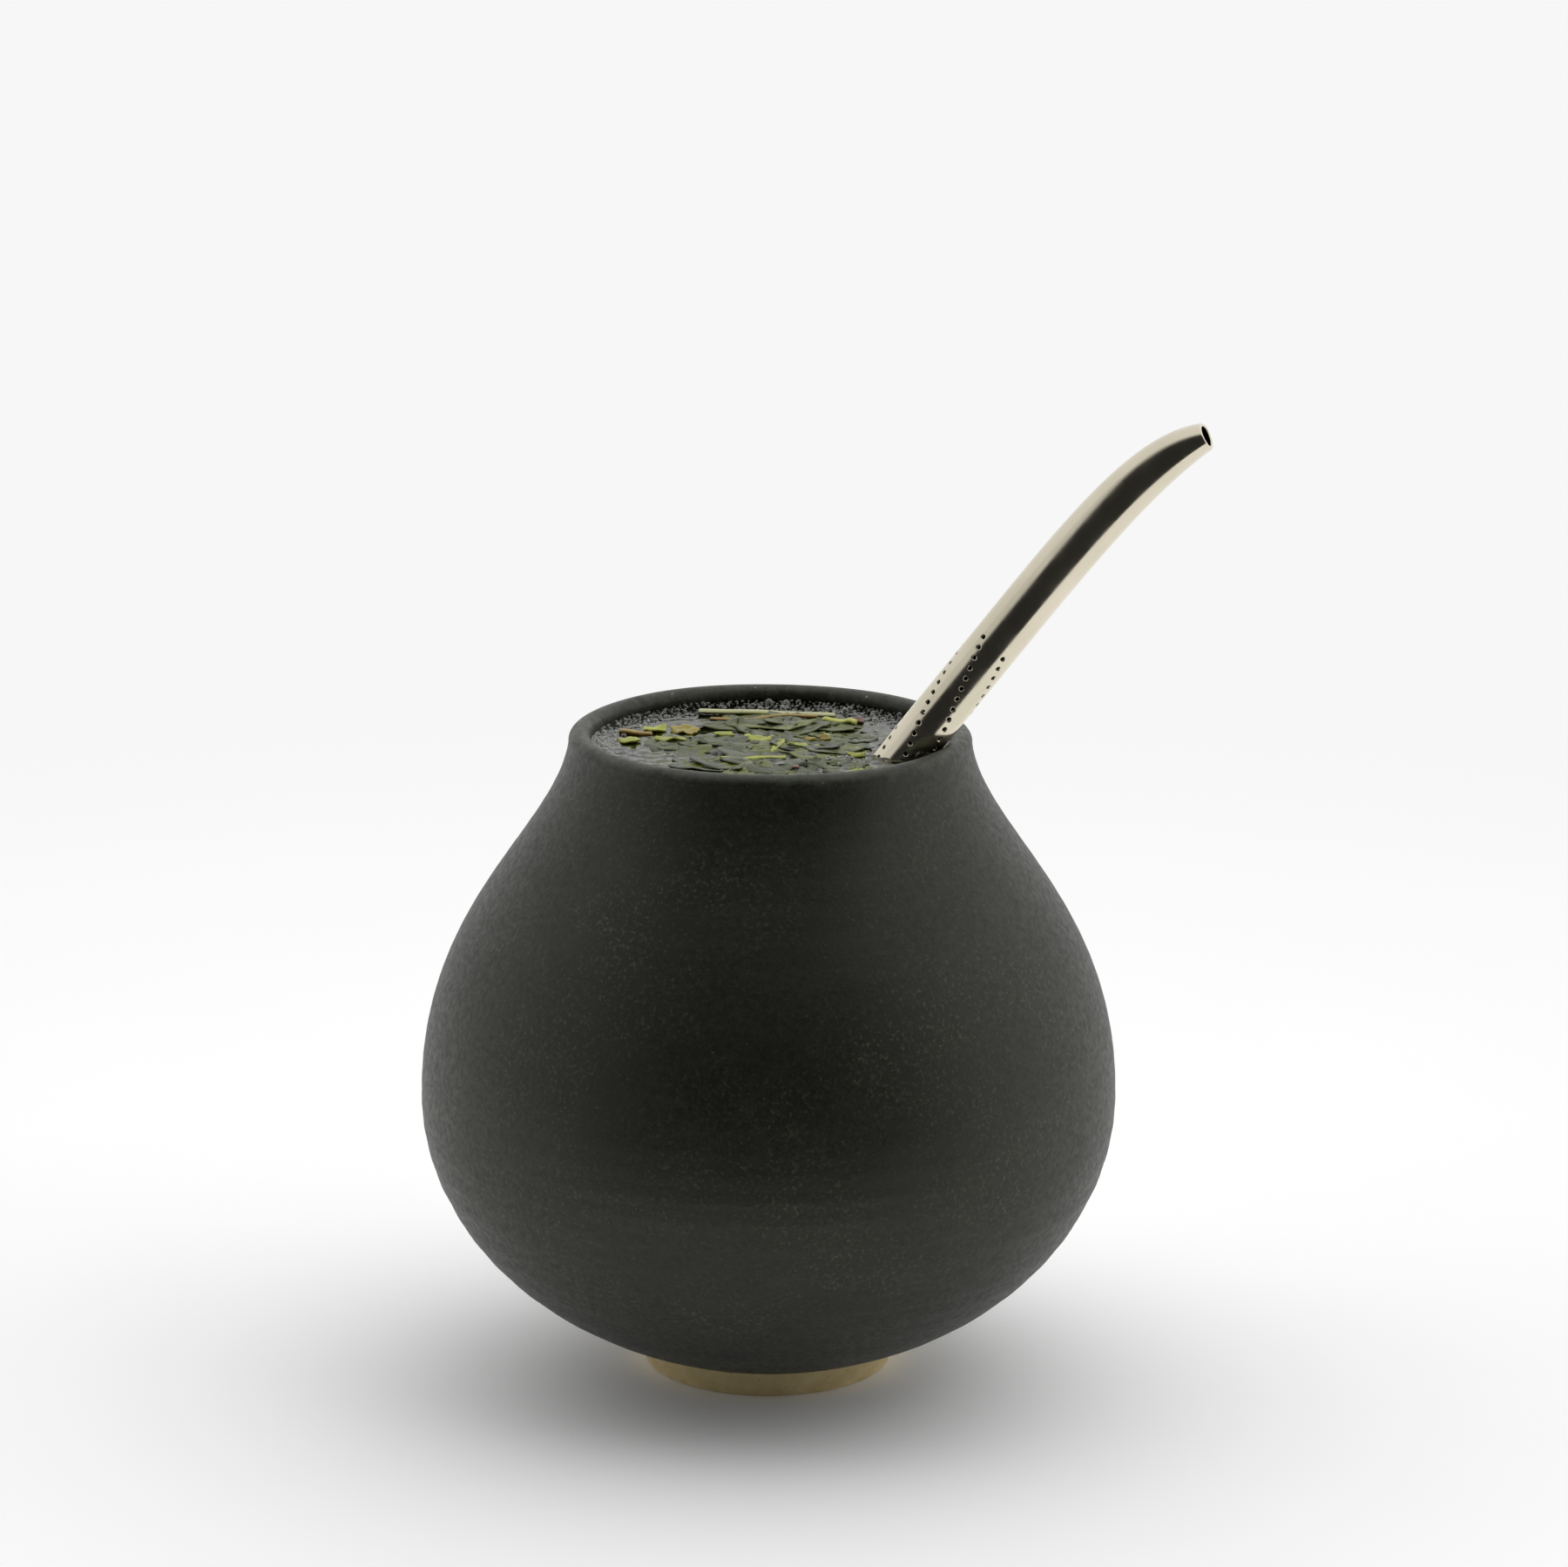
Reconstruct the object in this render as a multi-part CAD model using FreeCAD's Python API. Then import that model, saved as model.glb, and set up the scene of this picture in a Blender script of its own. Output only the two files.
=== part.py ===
import FreeCAD, Part
import math
import os

# Mate drink: a stoneware gourd cup with a bare foot ring, tea up to just under the lip, a bed of
# leaves and sticks lying at the surface, and a metal bombilla that leans on the lip.
# Millimetres. The Z axis is the cup's axis and Z = 0 is the plane that the foot stands on.
# The bombilla leans towards +X, and it stands a little towards -Y from the cup's axis.

# Cup, outside: a quarter ellipse below the widest ring and one cubic curve above it
BELLY_R = 47.5  # widest radius
BELLY_Z = 38.3  # height of the widest ring
BOWL_BOTTOM_Z = 0.9  # where the lower ellipse would close on the axis
BELLY_HANDLE = 25.5  # how far the wall keeps rising before it turns in
COLLAR_R = 27.35  # outer radius where the wall meets the lip
COLLAR_Z = 86.6
COLLAR_SLOPE = 13.0  # degrees that the neck leans in at the collar
NECK_HANDLE = 13.6  # length of the flared neck

# Cup, lip and wall
LIP_T = 3.0  # thickness of the rounded lip
LIP_RISE = 1.2  # from the collar up to the middle of the lip's round
LIP_LEAN = 0.15  # the lip's round lies this much inside the collar
WALL = 4.2  # wall at the widest ring
FLOOR_R = 9.0  # radius of the flat middle of the cavity's floor

# Cup, foot
FOOT_H = 3.75
FOOT_R = 16.9  # outer radius on the ground
FOOT_W = 3.5  # width of the ring that it stands on
FOOT_EDGE = 0.4  # rounding of the ring's two lower edges
RECESS = 2.0  # hollow under the base
FLOOR_T = 4.5  # clay between the recess and the bottom of the cavity

# Drink
FREE_BOARD = 2.2  # from the top of the lip down to the tea
BED_T = 3.6  # thickness of the leaf bed
BED_MARGIN = 2.6  # tea that shows between the bed and the wall, on average
BED_LOBES = ((5, 0.55, 0.4), (9, 0.35, 1.9), (14, 0.22, 3.1))  # count, depth, phase of its outline
BED_STANDS = 0.55  # mean height of the bed over the tea
BED_WAVES = ((0.21, 0.33, 0.22, 0.5), (-0.42, 0.30, 0.15, 2.1), (0.56, -0.42, 0.10, 4.0))
BED_CELLS = 20  # squares of the bed's top across its width

# Bombilla
TUBE_D = 6.75
TUBE_T = 0.5
LEAN = 52.1  # degrees above the ground of the straight part
STAND_OFF = 6.6  # how far its axis lies towards -Y from the cup's axis
SEAT_GAP = 0.1  # clearance at the lip and at the cavity's wall
STRAIGHT_UP = 21.0  # straight length above the tea
BEND_L = 38.7  # curved length from there to the mouth
BEND_TURN = 23.3  # degrees that the bend turns in all
BEND_POWER = 2.65  # the bend tightens towards the mouth
TAPER_L = 30.0  # the last stretch, which narrows to the mouth
TAPER_POWER = 2.7
MOUTH_THICK = 3.9  # the mouth is pressed to an oval, thin in the plane of the bend
MOUTH_WIDE = 6.0
BEND_SECTIONS = 13

# Strainer holes: rows along the tube that wind slowly round it
HOLE_D = 0.65
HOLE_PITCH = 1.44
HOLE_TWIST = 5.35  # degrees round the tube for each millimetre along it
HOLE_TOP = 19.7  # the highest holes, along the tube above the tea
HOLE_END = 4.0  # plain length left above the closed end
# Each row: degrees from the tube's upper line where it passes the tea, and the pitches that it starts late
HOLE_ROWS = ((-20, 0), (-86, 0), (-152, 0), (-219, 0.5), (-273, 0), (-326, 0.5))

# Sticks that lie half sunk in the bed's top: x, y and length as shares of the mouth's inner radius,
# direction in degrees, diameter and bow in millimetres
STICKS = {
    "stick_long": (-0.025, 0.657, 0.785, -2.0, 1.5, 0.4),
    "stick_brown": (-0.041, 0.562, 0.620, 1.0, 1.3, -0.3),
    "stick_lime": (0.388, 0.479, 0.223, -24.0, 1.5, 0.2),
    "stick_front": (-0.099, -0.413, 0.393, 12.0, 1.1, 0.7),
    "stick_left": (-0.756, 0.182, 0.198, -6.0, 1.7, 0.0),
}

# How finely the seats, the bend and the bed's edge are worked out
RIM_STEPS = 720
HALVINGS = 40
BEND_STEPS = 40  # short straight steps between two sections of the bend
OUTLINE_POINTS = 72
POINT_TOLERANCE = 1e-4

LIP_R = LIP_T / 2
LIP_MID_R = COLLAR_R - LIP_LEAN - LIP_R
MOUTH_R = LIP_MID_R - LIP_R
LIP_MID_Z = COLLAR_Z + LIP_RISE
LIP_TOP = LIP_MID_Z + LIP_R
FLOOR_Z = RECESS + FLOOR_T
LEVEL = LIP_TOP - FREE_BOARD
CAVITY_R = BELLY_R - WALL
TUBE_R = TUBE_D / 2
BIG = 4 * (BELLY_R + LIP_TOP)  # larger than the whole object


def at(r, z):
    """A point of the cup's half section."""
    return FreeCAD.Vector(r, 0, z)


def bezier(*poles):
    curve = Part.BezierCurve()
    curve.setPoles([at(*p) for p in poles])
    return curve.toShape()


def bowl_edge(radius, depth, low_z):
    """The quarter ellipse under the widest ring, from the height low_z up to the ring."""
    centre = at(0, BELLY_Z)
    lowest = at(0, BELLY_Z - depth)
    widest = at(radius, BELLY_Z)
    start = math.acos((BELLY_Z - low_z) / depth)
    if depth >= radius:
        arc = Part.ArcOfEllipse(Part.Ellipse(lowest, widest, centre), start, math.pi / 2)
    else:
        arc = Part.ArcOfEllipse(Part.Ellipse(widest, lowest, centre), 0, math.pi / 2 - start)
    return arc.toShape(), radius * math.sin(start)


def upper_edge(belly_r, collar_r):
    """The wall from the widest ring up to the collar, convex first and then flared."""
    lean = math.radians(COLLAR_SLOPE)
    neck = (collar_r + NECK_HANDLE * math.sin(lean), COLLAR_Z - NECK_HANDLE * math.cos(lean))
    return bezier((belly_r, BELLY_Z), (belly_r, BELLY_Z + BELLY_HANDLE), neck, (collar_r, COLLAR_Z))


def revolve(edges):
    """The solid of revolution of a closed half section."""
    face = Part.Face(Part.Wire(Part.__sortEdges__(edges)))
    solid = face.revolve(FreeCAD.Vector(0, 0, 0), FreeCAD.Vector(0, 0, 1), 360)
    return solid if solid.Volume > 0 else solid.reversed()


def line(a, b):
    return Part.LineSegment(at(*a), at(*b)).toShape()


def cavity_edges():
    """The cavity's half outline, from its floor on the axis up to the lip."""
    depth = (BELLY_Z - FLOOR_Z) / math.sqrt(1 - (FLOOR_R / CAVITY_R) ** 2)
    bowl, floor_r = bowl_edge(CAVITY_R, depth, FLOOR_Z)
    return [
        line((0, FLOOR_Z), (floor_r, FLOOR_Z)),
        bowl,
        upper_edge(CAVITY_R, MOUTH_R),
        line((MOUTH_R, COLLAR_Z), (MOUTH_R, LIP_MID_Z)),
    ]


def cavity():
    """The space inside the cup up to the middle of the lip's round."""
    closing = [line((MOUTH_R, LIP_MID_Z), (0, LIP_MID_Z)), line((0, LIP_MID_Z), (0, FLOOR_Z))]
    return revolve(cavity_edges() + closing)


def cup():
    outer_bowl, foot_top_r = bowl_edge(BELLY_R, BELLY_Z - BOWL_BOTTOM_Z, FOOT_H)
    outer_lip = LIP_MID_R + LIP_R
    over_lip = (at(MOUTH_R, LIP_MID_Z), at(LIP_MID_R, LIP_TOP), at(outer_lip, LIP_MID_Z))
    inside = FOOT_R - FOOT_W
    edge = FOOT_EDGE
    turn = edge * (1 - math.sqrt(0.5))
    edges = cavity_edges() + [
        Part.Arc(*over_lip).toShape(),
        line((outer_lip, LIP_MID_Z), (COLLAR_R, COLLAR_Z)),
        upper_edge(BELLY_R, COLLAR_R),
        outer_bowl,
        line((foot_top_r, FOOT_H), (FOOT_R, edge)),
        Part.Arc(at(FOOT_R, edge), at(FOOT_R - turn, turn), at(FOOT_R - edge, 0)).toShape(),
        line((FOOT_R - edge, 0), (inside + edge, 0)),
        Part.Arc(at(inside + edge, 0), at(inside + turn, turn), at(inside, edge)).toShape(),
        line((inside, edge), (inside, RECESS)),
        line((inside, RECESS), (0, RECESS)),
        line((0, RECESS), (0, FLOOR_Z)),
    ]
    return revolve(edges)


def direction(turned=0.0):
    """The bombilla's direction after turning by so many degrees towards the ground."""
    angle = math.radians(LEAN - turned)
    return FreeCAD.Vector(math.cos(angle), 0, math.sin(angle))


def lip_gap(start):
    """The gap between the straight tube and the lip's round, for a start point in the tea's plane."""
    along = direction()
    gap = BIG
    for i in range(RIM_STEPS):
        angle = 2 * math.pi * i / RIM_STEPS
        rim = FreeCAD.Vector(LIP_MID_R * math.cos(angle), LIP_MID_R * math.sin(angle), LIP_MID_Z)
        gap = min(gap, (rim - start).cross(along).Length - LIP_R - TUBE_R)
    return gap


def tea_point():
    """Where the bombilla's axis crosses the tea's surface, once it leans on the lip."""
    low, high = 0.0, LIP_MID_R
    for _ in range(HALVINGS):
        middle = (low + high) / 2
        if lip_gap(FreeCAD.Vector(middle, -STAND_OFF, LEVEL)) > SEAT_GAP:
            low = middle
        else:
            high = middle
    return FreeCAD.Vector(low, -STAND_OFF, LEVEL)


def sunk_length(start):
    """How far the bombilla's closed end lies below the tea: there it touches the cavity's wall."""
    space = cavity()
    low, high = 0.0, BIG
    for _ in range(HALVINGS):
        middle = (low + high) / 2
        centre = Part.Vertex(start - direction() * middle)
        inside = space.isInside(centre.Point, POINT_TOLERANCE, False)
        if inside and centre.distToShape(space.Shells[0])[0] > TUBE_R + SEAT_GAP:
            low = middle
        else:
            high = middle
    return low


def bend_stations(start):
    """Points and directions along the bend, from its start to the mouth."""
    point = start + direction() * STRAIGHT_UP
    stations = [(point, direction(), 0.0)]
    steps = BEND_STEPS * (BEND_SECTIONS - 1)
    for i in range(1, steps + 1):
        middle = (i - 0.5) / steps
        point = point + direction(BEND_TURN * middle**BEND_POWER) * (BEND_L / steps)
        if i % BEND_STEPS == 0:
            share = i / steps
            stations.append((point, direction(BEND_TURN * share**BEND_POWER), share * BEND_L))
    return stations


def oval(point, along, half_thick, half_wide):
    """An ellipse across the tube, thin in the plane of the bend."""
    curve = Part.Ellipse(point, half_wide, half_thick)
    curve.Axis = along
    curve.XAxis = FreeCAD.Vector(0, 1, 0)
    return Part.Wire(curve.toShape())


def straight_rod(start, sunk, inset):
    """The straight stretch with its round closed end, solid out to the tube's surface less inset."""
    end = start - direction() * sunk
    rod = Part.makeCylinder(TUBE_R - inset, sunk + STRAIGHT_UP, end, direction())
    return rod.fuse(Part.makeSphere(TUBE_R - inset, end)).removeSplitter()


def bent_rod(start, inset):
    """The bend and its flattened mouth, solid out to the tube's surface less inset."""
    sections = []
    for point, along, done in bend_stations(start):
        share = max(0.0, 1 - (BEND_L - done) / TAPER_L) ** TAPER_POWER
        thick = TUBE_R + (MOUTH_THICK / 2 - TUBE_R) * share - inset
        wide = TUBE_R + (MOUTH_WIDE / 2 - TUBE_R) * share - inset
        sections.append(oval(point, along, thick, wide))
    return Part.makeLoft(sections, True, False)


def strainer_holes(start, sunk):
    """One short rod through the wall for each hole."""
    side = FreeCAD.Vector(0, 1, 0)
    up = direction().cross(side)
    margin = TUBE_T  # each rod starts this far inside the wall and ends this far outside it
    rods = []
    for azimuth, late in HOLE_ROWS:
        top = HOLE_TOP - late * HOLE_PITCH
        for i in range(int((top + sunk - HOLE_END) / HOLE_PITCH)):
            height = top - i * HOLE_PITCH
            turn = math.radians(azimuth + HOLE_TWIST * height)
            out = up * math.cos(turn) + side * math.sin(turn)
            inner_end = start + direction() * height + out * (TUBE_R - TUBE_T - margin)
            rods.append(Part.makeCylinder(HOLE_D / 2, TUBE_T + 2 * margin, inner_end, out))
    return rods


def bombilla(start, sunk):
    """The whole straw: a strainer with a closed end, and the bend that ends in the mouth."""
    strainer = straight_rod(start, sunk, 0).cut(straight_rod(start, sunk, TUBE_T))
    strainer = strainer.cut(strainer_holes(start, sunk))
    bend = bent_rod(start, 0).cut(bent_rod(start, TUBE_T))
    return strainer.fuse(bend).Solids[0]


def bed_height(x, y):
    """The height of the bed's rough top."""
    wave = sum(rise * math.sin(u * x + v * y + phase) for u, v, rise, phase in BED_WAVES)
    return LEVEL + BED_STANDS + wave


def stick(x_share, y_share, length_share, heading, diameter, bow):
    """A bowed stick with rounded ends, half sunk in the bed's top."""
    x, y = x_share * MOUTH_R, y_share * MOUTH_R
    along = FreeCAD.Vector(math.cos(math.radians(heading)), math.sin(math.radians(heading)), 0)
    across = FreeCAD.Vector(-along.y, along.x, 0)
    middle = FreeCAD.Vector(x, y, bed_height(x, y))
    half = length_share * MOUTH_R / 2 - diameter / 2
    first = middle - along * half
    last = middle + along * half
    if bow == 0:
        path = Part.LineSegment(first, last).toShape()
        start_dir = along
    else:
        path = Part.Arc(first, middle + across * bow, last).toShape()
        start_dir = path.tangentAt(path.FirstParameter)
    ring = Part.Wire(Part.makeCircle(diameter / 2, first, start_dir))
    rod = Part.Wire(path).makePipeShell([ring], True, True)
    balls = [Part.makeSphere(diameter / 2, end) for end in (first, last)]
    return rod.fuse(balls).removeSplitter()


def bed_outline():
    """The bed's uneven edge, as a closed curve in the plane Z = 0."""
    mean = MOUTH_R - BED_MARGIN
    ring = []
    for i in range(OUTLINE_POINTS):
        angle = 2 * math.pi * i / OUTLINE_POINTS
        r = mean + sum(depth * math.sin(n * angle + phase) for n, depth, phase in BED_LOBES)
        ring.append(FreeCAD.Vector(r * math.cos(angle), r * math.sin(angle), 0))
    curve = Part.BSplineCurve()
    curve.interpolate(Points=ring, PeriodicFlag=True)
    return Part.Wire(curve.toShape())


def bed_top():
    """The bed's rough top, as a smooth surface a little wider than the bed."""
    half = LIP_MID_R + LIP_T
    step = 2 * half / BED_CELLS
    rows = []
    for i in range(BED_CELLS + 1):
        x = -half + i * step
        row = []
        for j in range(BED_CELLS + 1):
            y = -half + j * step
            row.append(FreeCAD.Vector(x, y, bed_height(x, y)))
        rows.append(row)
    surface = Part.BSplineSurface()
    surface.interpolate(rows)
    return surface.toShape()


def leaf_bed(envelope, sticks):
    """The bed of wet leaves, cut round the bombilla and under the sticks."""
    block = Part.Face(bed_outline()).extrude(FreeCAD.Vector(0, 0, BIG))
    block.translate(FreeCAD.Vector(0, 0, LEVEL - BED_T))
    under = bed_top().extrude(FreeCAD.Vector(0, 0, -BIG))
    bed = block.common(under).cut([envelope] + sticks)
    return max(bed.Solids, key=lambda solid: solid.Volume)


def tea(envelope, bed):
    """The drink up to its level, cut round everything that stands in it."""
    below = Part.makeBox(BIG, BIG, BIG, FreeCAD.Vector(-BIG / 2, -BIG / 2, LEVEL - BIG))
    drink = cavity().common(below).cut([envelope, bed])
    return max(drink.Solids, key=lambda solid: solid.Volume)


def main():
    start = tea_point()
    sunk = sunk_length(start)
    envelope = straight_rod(start, sunk, 0)
    sticks = {name: stick(*values) for name, values in STICKS.items()}
    bed = leaf_bed(envelope, list(sticks.values()))
    parts = {
        "mate_cup": cup(),
        "bombilla": bombilla(start, sunk),
        "leaf_bed": bed,
        "tea": tea(envelope, bed),
    }
    parts.update(sticks)
    os.makedirs("parts", exist_ok=True)
    for name, shape in parts.items():
        print(name, shape.isValid(), len(shape.Solids), "solid", round(shape.Volume, 1), "mm3")
        shape.exportStep(f"parts/{name}.step")


main()
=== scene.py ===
"""Looks for the mate gourd drink: stoneware cup, metal bombilla, tea, floating leaves and sticks."""

import math

import bpy
import numpy as np
from mathutils import Matrix, Vector


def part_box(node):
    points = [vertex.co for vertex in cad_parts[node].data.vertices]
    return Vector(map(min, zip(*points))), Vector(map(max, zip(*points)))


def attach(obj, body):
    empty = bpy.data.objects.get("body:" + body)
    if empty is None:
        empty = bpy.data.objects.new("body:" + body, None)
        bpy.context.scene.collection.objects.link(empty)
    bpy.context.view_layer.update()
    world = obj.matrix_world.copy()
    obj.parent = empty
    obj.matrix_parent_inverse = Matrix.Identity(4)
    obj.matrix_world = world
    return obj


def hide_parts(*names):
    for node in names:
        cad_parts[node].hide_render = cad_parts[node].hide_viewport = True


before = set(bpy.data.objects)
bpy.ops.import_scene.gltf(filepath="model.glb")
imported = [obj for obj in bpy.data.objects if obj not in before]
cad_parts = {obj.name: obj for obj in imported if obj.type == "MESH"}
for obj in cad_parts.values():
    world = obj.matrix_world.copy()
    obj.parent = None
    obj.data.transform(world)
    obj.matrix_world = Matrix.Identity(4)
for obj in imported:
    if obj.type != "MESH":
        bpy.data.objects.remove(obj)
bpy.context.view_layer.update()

MM = 0.001
TAU = 2 * math.pi
BODY = "root"
WHITE = 0.93  # the backdrop
LAMPS = 1.45  # the studio's light on the object
FLOOR_REACH = 6.0  # m, to the sides and the back
FLOOR_FRONT = -0.15  # m, the floor's front edge
PLAIN_FROM, PLAIN_FULL = 0.06, 0.4  # m from the cup's axis, where the floor turns into plain white
CAMERA_AT = (1.86, -722.8, 266.2)  # mm
CAMERA_PITCH = 14.33  # degrees, downwards
CAMERA_ROLL = 0.0056
LENS, SENSOR = 126.9, 36.0

# ---------------------------------------------------------------- sizes, in mm, read off the frame
_, cup_high = (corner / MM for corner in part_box("mate_cup"))
tea_low, tea_high = (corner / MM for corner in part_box("tea"))
tube_low, tube_high = (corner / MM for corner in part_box("bombilla"))
BELLY_R = cup_high.x
LIP_TOP = cup_high.z
LEVEL = tea_high.z
FLOOR_Z = tea_low.z
CAVITY_R = tea_high.x

# the cup's outline
BELLY_Z = 38.3
BOWL_BOTTOM_Z = 0.9
BELLY_HANDLE = 25.5
COLLAR_R = 27.35
COLLAR_Z = 86.6
COLLAR_SLOPE = math.radians(13.0)
NECK_HANDLE = 13.6
LIP_R = 1.5
LIP_MID_Z = LIP_TOP - LIP_R
LIP_MID_R = COLLAR_R - 0.15 - LIP_R
MOUTH_R = LIP_MID_R - LIP_R
RAFT_X, RAFT_Y, RAFT_R = 0.5, -3.2, 21.4  # the raft of leaves
FOOT_H = 3.75
FOOT_R = 16.9
FOOT_W = 3.5
FOOT_EDGE = 0.4
RECESS = 2.0
FLOOR_R = 9.0

# the bombilla
TUBE_R = (tube_high.y - tube_low.y) / 2
TUBE_T = 0.5
LEAN = math.radians(52.1)
STRAIGHT_UP = 21.0
BEND_L = 38.7
BEND_TURN = math.radians(23.3)
BEND_POWER = 2.65
TAPER_L = 30.0
TAPER_POWER = 2.7
MOUTH_THICK = 3.9
MOUTH_WIDE = 6.0
PRESSED = 1.4  # the upper side is pressed down to this height over the axis at the mouth
PRESS_POWER = 7.0
MOUTH_CUT = math.tan(math.radians(8.0))  # the mouth is cut a little aslant, its near side shorter
HOLE_R = 0.325
HOLE_PITCH = 1.44
HOLE_TWIST = math.radians(5.35)
HOLE_TOP = 19.7
HOLE_END = 4.0
HOLE_ROWS = ((-20, 0), (-86, 0), (-152, 0), (-219, 0.5), (-273, 0), (-326, 0.5))


# ---------------------------------------------------------------- meshes
def make_piece(name, verts, faces, material, slot, replaces=(), normals=None):
    """A mesh piece, its points given in mm, riding on the one body."""
    mesh = bpy.data.meshes.new(name)
    mesh.from_pydata((np.asarray(verts, float) * MM).tolist(), [], faces)
    mesh.update()
    mesh.validate()
    mesh.polygons.foreach_set("use_smooth", [True] * len(mesh.polygons))
    if normals is not None:
        mesh.normals_split_custom_set_from_vertices(normals)
    piece = bpy.data.objects.new(name, mesh)
    bpy.context.scene.collection.objects.link(piece)
    mesh.materials.append(material)
    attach(piece, BODY)
    if replaces:
        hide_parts(*replaces)
    return piece


def set_attribute(piece, name, values):
    """One number for each point, for the material to read."""
    layer = piece.data.attributes.new(name, "FLOAT", "POINT")
    layer.data.foreach_set("value", np.asarray(values, np.float32))


def ring_faces(first, second, count, closed=True):
    """Quads between two rings of points, given the index of each ring's first point."""
    faces = []
    for i in range(count if closed else count - 1):
        j = (i + 1) % count
        faces.append((first + i, first + j, second + j, second + i))
    return faces


class Ripples:
    """Smooth seeded noise: waves of about one length in all directions, from -1 to 1 or so."""

    def __init__(self, seed, length, count=14, spread=0.45):
        rng = np.random.default_rng(seed)
        size = TAU / (length * (1 + spread * rng.uniform(-1, 1, count)))
        turn = rng.uniform(0, TAU, count)
        self.kx = size * np.cos(turn)
        self.ky = size * np.sin(turn)
        self.phase = rng.uniform(0, TAU, count)
        self.gain = math.sqrt(2.0 / count)

    def __call__(self, x, y):
        x = np.asarray(x, float)[..., None]
        y = np.asarray(y, float)[..., None]
        return self.gain * np.sin(x * self.kx + y * self.ky + self.phase).sum(-1)


# ---------------------------------------------------------------- node materials
class Shader:
    """A Principled material and short ways to add nodes to it."""

    def __init__(self, name, **values):
        self.material = bpy.data.materials.new(name)
        self.material.use_nodes = True
        self.tree = self.material.node_tree
        self.bsdf = self.tree.nodes["Principled BSDF"]
        for key, value in values.items():
            self.bsdf.inputs[key.replace("_", " ")].default_value = value
        self.coords = self.tree.nodes.new("ShaderNodeTexCoord").outputs["Object"]

    def node(self, kind, inputs=(), **settings):
        node = self.tree.nodes.new(kind)
        for key, value in settings.items():
            setattr(node, key, value)
        for key, value in dict(inputs).items():
            if isinstance(value, bpy.types.NodeSocket):
                self.tree.links.new(value, node.inputs[key])
            else:
                node.inputs[key].default_value = value
        return node

    def link(self, output, socket):
        self.tree.links.new(output, self.bsdf.inputs[socket])

    def scaled(self, scale):
        """Object coordinates in mm, times scale along each axis."""
        mapping = self.node("ShaderNodeMapping", {"Vector": self.coords})
        mapping.inputs["Scale"].default_value = [s / MM for s in scale]
        return mapping.outputs["Vector"]

    def noise(self, size, detail=4.0, rough=0.55, stretch=(1, 1, 1), shift=0.0):
        """Noise with features about size mm across."""
        vector = self.scaled([1 / (size * s) for s in stretch])
        inputs = {"Vector": vector, "Scale": 1.0, "Detail": detail, "Roughness": rough, "W": shift}
        return self.node("ShaderNodeTexNoise", inputs, noise_dimensions="4D").outputs["Fac"]

    def cells(self, size, stretch=(1, 1, 1)):
        vector = self.scaled([1 / (size * s) for s in stretch])
        return self.node("ShaderNodeTexVoronoi", {"Vector": vector, "Scale": 1.0}, feature="F1")

    def ramp(self, value, *stops):
        """Colour ramp: each stop is a place and a colour or grey."""
        node = self.node("ShaderNodeValToRGB", {"Fac": value})
        elements = node.color_ramp.elements
        while len(elements) < len(stops):
            elements.new(0.5)
        for element, (place, colour) in zip(elements, stops):
            element.position = place
            element.color = colour if hasattr(colour, "__len__") else (colour, colour, colour, 1)
        return node.outputs["Color"]

    def span(self, value, low, high, out_low=0.0, out_high=1.0):
        inputs = {"Value": value, "From Min": low, "From Max": high, "To Min": out_low, "To Max": out_high}
        return self.node("ShaderNodeMapRange", inputs, interpolation_type="SMOOTHSTEP").outputs["Result"]

    def mix(self, factor, first, second, mode="MIX"):
        node = self.node("ShaderNodeMix", data_type="RGBA", blend_type=mode)
        for key, value in ((0, factor), (6, first), (7, second)):
            if isinstance(value, bpy.types.NodeSocket):
                self.tree.links.new(value, node.inputs[key])
            else:
                node.inputs[key].default_value = value
        return node.outputs[2]

    def math(self, kind, first, second=0.0, third=0.0):
        node = self.node("ShaderNodeMath", {0: first, 1: second, 2: third}, operation=kind)
        return node.outputs[0]

    def part(self, axis):
        """One object coordinate, in mm."""
        node = self.node("ShaderNodeSeparateXYZ", {"Vector": self.scaled((1, 1, 1))})
        return node.outputs[axis]

    def attribute(self, name):
        return self.node("ShaderNodeAttribute", attribute_name=name).outputs["Fac"]

    def bump(self, height, depth, strength=1.0, under=None):
        """Bump of the given depth in mm."""
        inputs = {"Height": height, "Distance": depth * MM, "Strength": strength}
        if under is not None:
            inputs["Normal"] = under
        return self.node("ShaderNodeBump", inputs).outputs["Normal"]


def srgb(red, green, blue):
    """A colour given as 0 to 255 on the screen."""
    out = []
    for value in (red, green, blue):
        v = value / 255
        out.append(v / 12.92 if v <= 0.04045 else ((v + 0.055) / 1.055) ** 2.4)
    return (*out, 1.0)


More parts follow.
